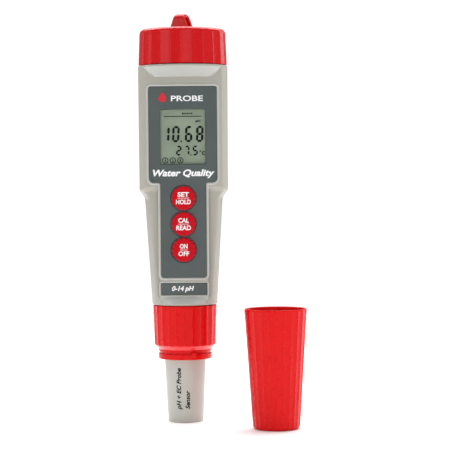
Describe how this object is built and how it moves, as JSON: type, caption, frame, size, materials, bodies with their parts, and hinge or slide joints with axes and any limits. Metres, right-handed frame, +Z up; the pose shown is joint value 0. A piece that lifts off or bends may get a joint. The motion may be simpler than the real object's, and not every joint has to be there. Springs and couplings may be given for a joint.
{
  "type": "water quality probe",
  "caption": "Pen-type water quality meter with a display, three keys and a screw-on sensor module, standing beside its fluted protective cap.",
  "frame": {"origin": "centre of the bottom of the box round the probe and its cap, on the surface they stand on", "axes": "+Z up along the probe, display facing -Y, +X to the right of someone reading the display"},
  "size_m": [0.0705, 0.0592, 0.1747],
  "materials": {
    "grey_housing": "fine moulded texture, warm light grey",
    "dark_panel": "satin printed film, dark grey-green",
    "red_plastic": "satin moulded plastic, red",
    "bright_red_plastic": "satin moulded plastic, bright red",
    "key_red": "matt silicone, red with white print",
    "window": "clear flat lens",
    "display_glass": "grey-green reflective display",
    "light_grey": "fine moulded texture, light grey",
    "black_plastic": "matt black moulding",
    "seal_rubber": "matt black rubber",
    "circuit_board": "green solder mask",
    "steel": "bright nickel-plated metal",
    "bulb_glass": "thin clear glass",
    "ceramic": "porous off-white",
    "ribbon": "flat white flex cable",
    "sponge": "yellow open-cell sponge"
  },
  "bodies": {
    "sensor_module": {"module_shell": "light_grey", "tip_bulkhead": "black_plastic", "ph_bulb": "bulb_glass", "conductivity_pin_left": "steel", "conductivity_pin_right": "steel", "temperature_sensor": "steel", "reference_junction": "ceramic", "module_oring": "seal_rubber", "module_plug": "black_plastic"},
    "collar": {"collar": "bright_red_plastic"},
    "housing": {"front_housing": "grey_housing", "rear_housing": "grey_housing", "neck_insert": "grey_housing", "spigot_insert": "grey_housing", "overlay_panel": "dark_panel", "label_plate": "dark_panel", "lcd_window": "window", "lcd_glass": "display_glass", "lcd_frame": "black_plastic", "zebra_strip_lower": "seal_rubber", "zebra_strip_upper": "seal_rubber", "dome_switch_power": "steel", "dome_switch_cal": "steel", "dome_switch_mode": "steel", "keypad_mat": "seal_rubber", "main_pcb": "circuit_board", "pcb_screw_lower": "steel", "pcb_screw_upper": "steel", "module_socket": "black_plastic", "sensor_ribbon": "ribbon", "battery_tray": "black_plastic", "battery_cell_1": "steel", "battery_cell_2": "steel", "battery_cell_3": "steel", "battery_cell_4": "steel", "battery_contact_spring": "steel", "battery_contact_clip": "steel"},
    "button_mode": {"button_mode": "key_red"},
    "button_cal": {"button_cal": "key_red"},
    "button_power": {"button_power": "key_red"},
    "cap_gasket": {"battery_cap_gasket": "seal_rubber"},
    "battery_cap": {"battery_cap": "red_plastic"},
    "protective_cap": {"protective_cap": "bright_red_plastic", "cap_sponge": "sponge"}
  },
  "joints": [
    {"name": "collar_unscrew", "type": "hinge", "parent": "sensor_module", "child": "collar", "pos_m": [-0.01605, 0.0104, 0.04], "axis": [0, 0, -1], "range_deg": [0, 900]},
    {"name": "housing_rise", "type": "slide", "parent": "sensor_module", "child": "housing", "axis": [0, 0, 1], "range_m": [0, 0.0075]},
    {"name": "button_mode_press", "type": "slide", "parent": "housing", "child": "button_mode", "axis": [0, 1, 0], "range_m": [0, 0.0006], "stiffness_N_per_m": 1500, "springref_m": -0.0005},
    {"name": "button_cal_press", "type": "slide", "parent": "housing", "child": "button_cal", "axis": [0, 1, 0], "range_m": [0, 0.0006], "stiffness_N_per_m": 1500, "springref_m": -0.0005},
    {"name": "button_power_press", "type": "slide", "parent": "housing", "child": "button_power", "axis": [0, 1, 0], "range_m": [0, 0.0006], "stiffness_N_per_m": 1500, "springref_m": -0.0005},
    {"name": "battery_cap_unscrew", "type": "hinge", "parent": "cap_gasket", "child": "battery_cap", "pos_m": [-0.01605, 0.0104, 0.16], "axis": [0, 0, 1], "range_deg": [0, 900]},
    {"name": "battery_cap_rise", "type": "slide", "parent": "housing", "child": "cap_gasket", "axis": [0, 0, 1], "range_m": [0, 0.0075]},
    {"name": "protective_cap_lift", "type": "slide", "parent": "sensor_module", "child": "protective_cap", "axis": [0, 0, 1], "range_m": [0, 0.06]}
  ],
  "couplings": [
    {"joint": "collar_unscrew", "follows": "housing_rise", "rad_per_m": 2094.4},
    {"joint": "battery_cap_unscrew", "follows": "battery_cap_rise", "rad_per_m": 2094.4}
  ]
}
